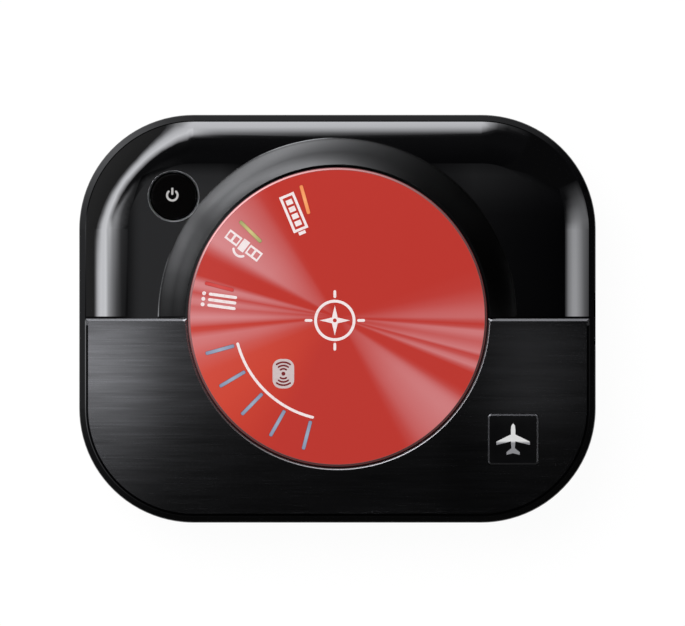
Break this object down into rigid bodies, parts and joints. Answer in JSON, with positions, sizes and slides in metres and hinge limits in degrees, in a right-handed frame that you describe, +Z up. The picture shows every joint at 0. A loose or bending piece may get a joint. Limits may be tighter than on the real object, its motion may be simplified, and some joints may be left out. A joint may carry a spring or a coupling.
{
  "type": "portable satellite navigation receiver",
  "caption": "Palm-sized puck-shaped aviation satellite receiver with a gloss and brushed face, a round red dial with light bars, a power button and a sliding battery door.",
  "frame": {"origin": "centre of the base, on the surface that the receiver rests on", "axes": "+Z up out of the dial, +X along the longer side towards the USB socket, +Y towards the edge beside the power button"},
  "size_m": [0.079, 0.0624, 0.0173],
  "materials": {
    "gloss_black": "polished black ABS, moulded",
    "satin_black": "fine spark texture, black ABS",
    "turned_red": "red lacquer over a fine turned texture",
    "brushed_black": "black anodised, brushed along X, cut edge",
    "badge_black": "gloss lacquer with silver print",
    "adhesive": "acrylic foam adhesive film",
    "pipe_amber": "tinted acrylic light pipe",
    "pipe_green": "tinted acrylic light pipe",
    "pipe_red": "tinted acrylic light pipe",
    "pipe_blue": "tinted acrylic light pipe",
    "led_white": "white package with a yellow phosphor window",
    "solder_mask": "green solder mask on glass-fibre board",
    "ceramic": "fired ceramic, stood in for by a hard matt plastic",
    "silver": "fired silver paste",
    "tinned_steel": "tinned sheet",
    "nickel_steel": "nickel-plated stainless steel",
    "zinc_screw": "black zinc-plated steel",
    "chip_black": "moulded epoxy package",
    "chip_pale": "ceramic chip and metal lid",
    "plunger": "nylon",
    "cell_wrap": "shrink film over an aluminium can",
    "gold": "gold-plated"
  },
  "bodies": {
    "case": {"antenna_ceramic": "ceramic", "antenna_electrode": "silver", "battery_cell": "cell_wrap", "battery_end_cap": "chip_black", "battery_terminals": "gold", "board_screws": "zinc_screw", "bottom_shell": "satin_black", "case_screws": "zinc_screw", "charger_chip": "chip_black", "clock_crystal": "chip_pale", "contact_block": "chip_black", "contact_leaves": "gold", "dial_disc": "turned_red", "dial_tape": "adhesive", "led_battery": "led_white", "led_fix": "led_white", "led_link_1": "led_white", "led_link_2": "led_white", "led_link_3": "led_white", "led_link_4": "led_white", "led_link_5": "led_white", "led_log": "led_white", "light_pipe_battery": "pipe_amber", "light_pipe_fix": "pipe_green", "light_pipe_link_1": "pipe_blue", "light_pipe_link_2": "pipe_blue", "light_pipe_link_3": "pipe_blue", "light_pipe_link_4": "pipe_blue", "light_pipe_link_5": "pipe_blue", "light_pipe_log": "pipe_red", "main_board": "solder_mask", "memory_chip": "chip_black", "nameplate": "badge_black", "plate_tape": "adhesive", "power_coil": "chip_black", "processor_chip": "chip_black", "radio_antenna": "chip_pale", "radio_board": "solder_mask", "radio_shield": "tinned_steel", "receiver_chip": "chip_black", "receiver_shield": "tinned_steel", "switch_dome": "nickel_steel", "switch_housing": "chip_black", "top_shell": "gloss_black", "trim_plate": "brushed_black", "usb_shell": "nickel_steel", "usb_tongue": "chip_black"},
    "button": {"power_button": "gloss_black"},
    "plunger": {"switch_plunger": "plunger"},
    "door": {"battery_door": "satin_black"}
  },
  "joints": [
    {"name": "power_button_press", "type": "slide", "parent": "case", "child": "button", "axis": [0, 0, -1], "range_m": [0, 0.00025], "stiffness_N_per_m": 8000, "springref_m": -0.0001},
    {"name": "switch_plunger_press", "type": "slide", "parent": "case", "child": "plunger", "axis": [0, 0, -1], "range_m": [0, 0.00025]},
    {"name": "battery_door_slide", "type": "slide", "parent": "case", "child": "door", "axis": [0, -1, 0], "range_m": [0, 0.06]}
  ],
  "couplings": [
    {"joint": "switch_plunger_press", "follows": "power_button_press", "ratio": 1}
  ]
}
